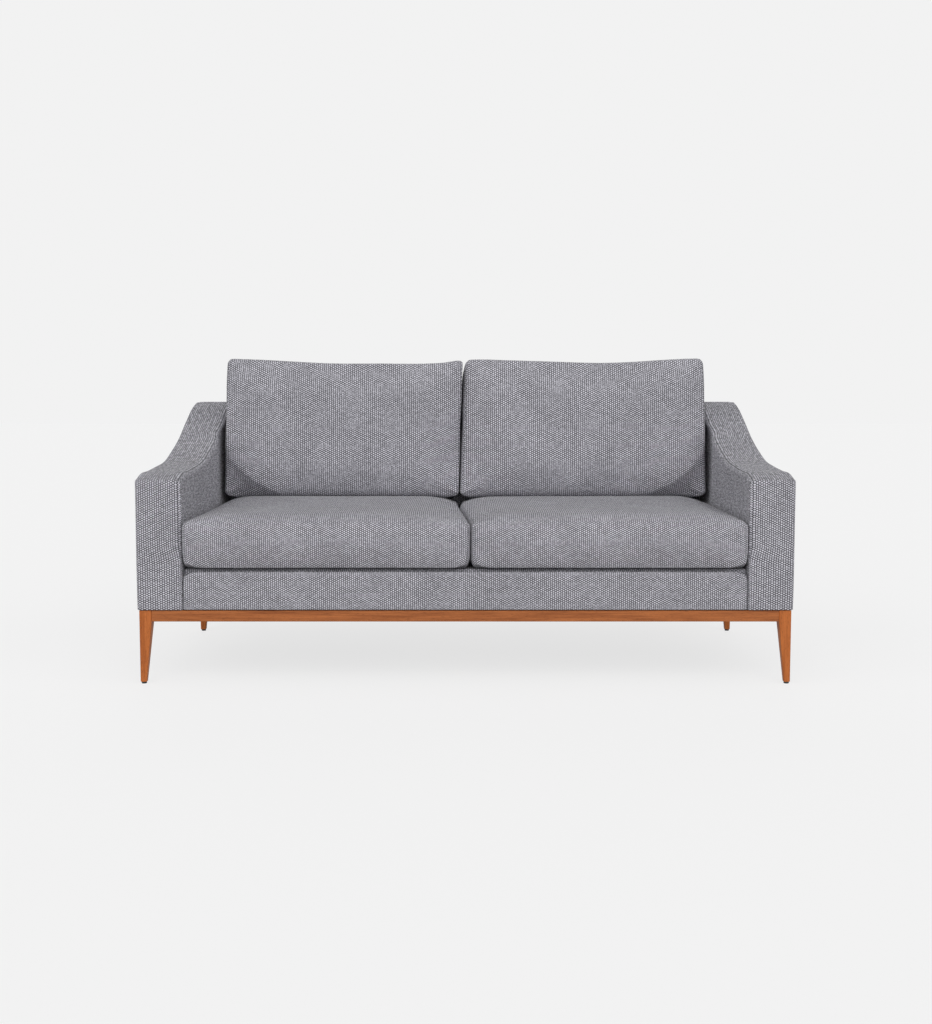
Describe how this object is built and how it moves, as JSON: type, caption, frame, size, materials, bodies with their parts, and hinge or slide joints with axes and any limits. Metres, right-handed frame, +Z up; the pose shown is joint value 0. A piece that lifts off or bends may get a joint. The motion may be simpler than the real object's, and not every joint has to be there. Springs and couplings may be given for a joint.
{
  "type": "high back settee",
  "caption": "High back settee with loose seat and back cushions, slim upholstered arms that sweep up to the back, and a timber plinth on tapered legs.",
  "frame": {"origin": "on the floor, in the middle of the overall width and depth", "axes": "+X to the right seen from the front, +Z up, the front faces -Y"},
  "size_m": [1.88, 0.8996, 0.9483],
  "materials": {
    "upholstery": "coarse basket weave of light and dark grey yarns, matt",
    "cherry_wood": "cherry-stained hardwood with a satin lacquer",
    "frame_timber": "bare sawn timber",
    "cushion_core": "foam block in a soft wrap",
    "webbing": "elastic upholstery webbing",
    "dust_cloth": "black non-woven cloth",
    "glide_plastic": "black moulded plastic",
    "zinc_steel": "zinc plated",
    "zip_metal": "grey lacquered zinc"
  },
  "bodies": {
    "frame": {"front_plinth_rail": "cherry_wood", "rear_plinth_rail": "cherry_wood", "left_plinth_rail": "cherry_wood", "right_plinth_rail": "cherry_wood", "plinth_cross_rail": "cherry_wood", "front_left_leg": "cherry_wood", "front_left_glide": "glide_plastic", "front_left_corner_block": "frame_timber", "front_left_corner_bolt": "zinc_steel", "front_right_leg": "cherry_wood", "front_right_glide": "glide_plastic", "front_right_corner_block": "frame_timber", "front_right_corner_bolt": "zinc_steel", "rear_left_leg": "cherry_wood", "rear_left_glide": "glide_plastic", "rear_left_corner_block": "frame_timber", "rear_left_corner_bolt": "zinc_steel", "rear_right_leg": "cherry_wood", "rear_right_glide": "glide_plastic", "rear_right_corner_block": "frame_timber", "rear_right_corner_bolt": "zinc_steel", "dust_cover": "dust_cloth", "seat_front_rail": "frame_timber", "seat_rear_rail": "frame_timber", "seat_left_rail": "frame_timber", "seat_right_rail": "frame_timber", "seat_centre_rail": "frame_timber", "seat_webbing": "webbing", "seat_deck": "upholstery", "front_border": "upholstery", "left_arm_front_post": "frame_timber", "left_arm_rear_post": "frame_timber", "left_arm_base_rail": "frame_timber", "left_arm_top_rail": "frame_timber", "left_arm_cover": "upholstery", "right_arm_front_post": "frame_timber", "right_arm_rear_post": "frame_timber", "right_arm_base_rail": "frame_timber", "right_arm_top_rail": "frame_timber", "right_arm_cover": "upholstery", "back_top_rail": "frame_timber", "back_bottom_rail": "frame_timber", "back_left_post": "frame_timber", "back_right_post": "frame_timber", "back_centre_post": "frame_timber", "back_webbing": "webbing", "inside_back_cover": "upholstery", "outside_back_cover": "upholstery"},
    "left_seat_cushion": {"left_seat_cushion_cover": "upholstery", "left_seat_cushion_core": "cushion_core"},
    "left_seat_cushion_zip": {"left_seat_cushion_zip_slider": "zip_metal"},
    "right_seat_cushion": {"right_seat_cushion_cover": "upholstery", "right_seat_cushion_core": "cushion_core"},
    "right_seat_cushion_zip": {"right_seat_cushion_zip_slider": "zip_metal"},
    "left_back_cushion": {"left_back_cushion_cover": "upholstery", "left_back_cushion_core": "cushion_core"},
    "left_back_cushion_zip": {"left_back_cushion_zip_slider": "zip_metal"},
    "right_back_cushion": {"right_back_cushion_cover": "upholstery", "right_back_cushion_core": "cushion_core"},
    "right_back_cushion_zip": {"right_back_cushion_zip_slider": "zip_metal"}
  },
  "joints": [
    {"name": "left_seat_cushion_slide", "type": "slide", "parent": "frame", "child": "left_seat_cushion", "axis": [0, -1, 0], "range_m": [0, 0.8]},
    {"name": "right_seat_cushion_slide", "type": "slide", "parent": "frame", "child": "right_seat_cushion", "axis": [0, -1, 0], "range_m": [0, 0.8]},
    {"name": "left_back_cushion_lift", "type": "slide", "parent": "frame", "child": "left_back_cushion", "axis": [0, 0, 1], "range_m": [0, 0.45]},
    {"name": "right_back_cushion_lift", "type": "slide", "parent": "frame", "child": "right_back_cushion", "axis": [0, 0, 1], "range_m": [0, 0.45]},
    {"name": "left_seat_cushion_zip_slide", "type": "slide", "parent": "left_seat_cushion", "child": "left_seat_cushion_zip", "axis": [1, 0, 0], "range_m": [0, 0.586]},
    {"name": "right_seat_cushion_zip_slide", "type": "slide", "parent": "right_seat_cushion", "child": "right_seat_cushion_zip", "axis": [1, 0, 0], "range_m": [0, 0.586]},
    {"name": "left_back_cushion_zip_slide", "type": "slide", "parent": "left_back_cushion", "child": "left_back_cushion_zip", "axis": [1, 0, 0], "range_m": [0, 0.586]},
    {"name": "right_back_cushion_zip_slide", "type": "slide", "parent": "right_back_cushion", "child": "right_back_cushion_zip", "axis": [1, 0, 0], "range_m": [0, 0.586]}
  ]
}
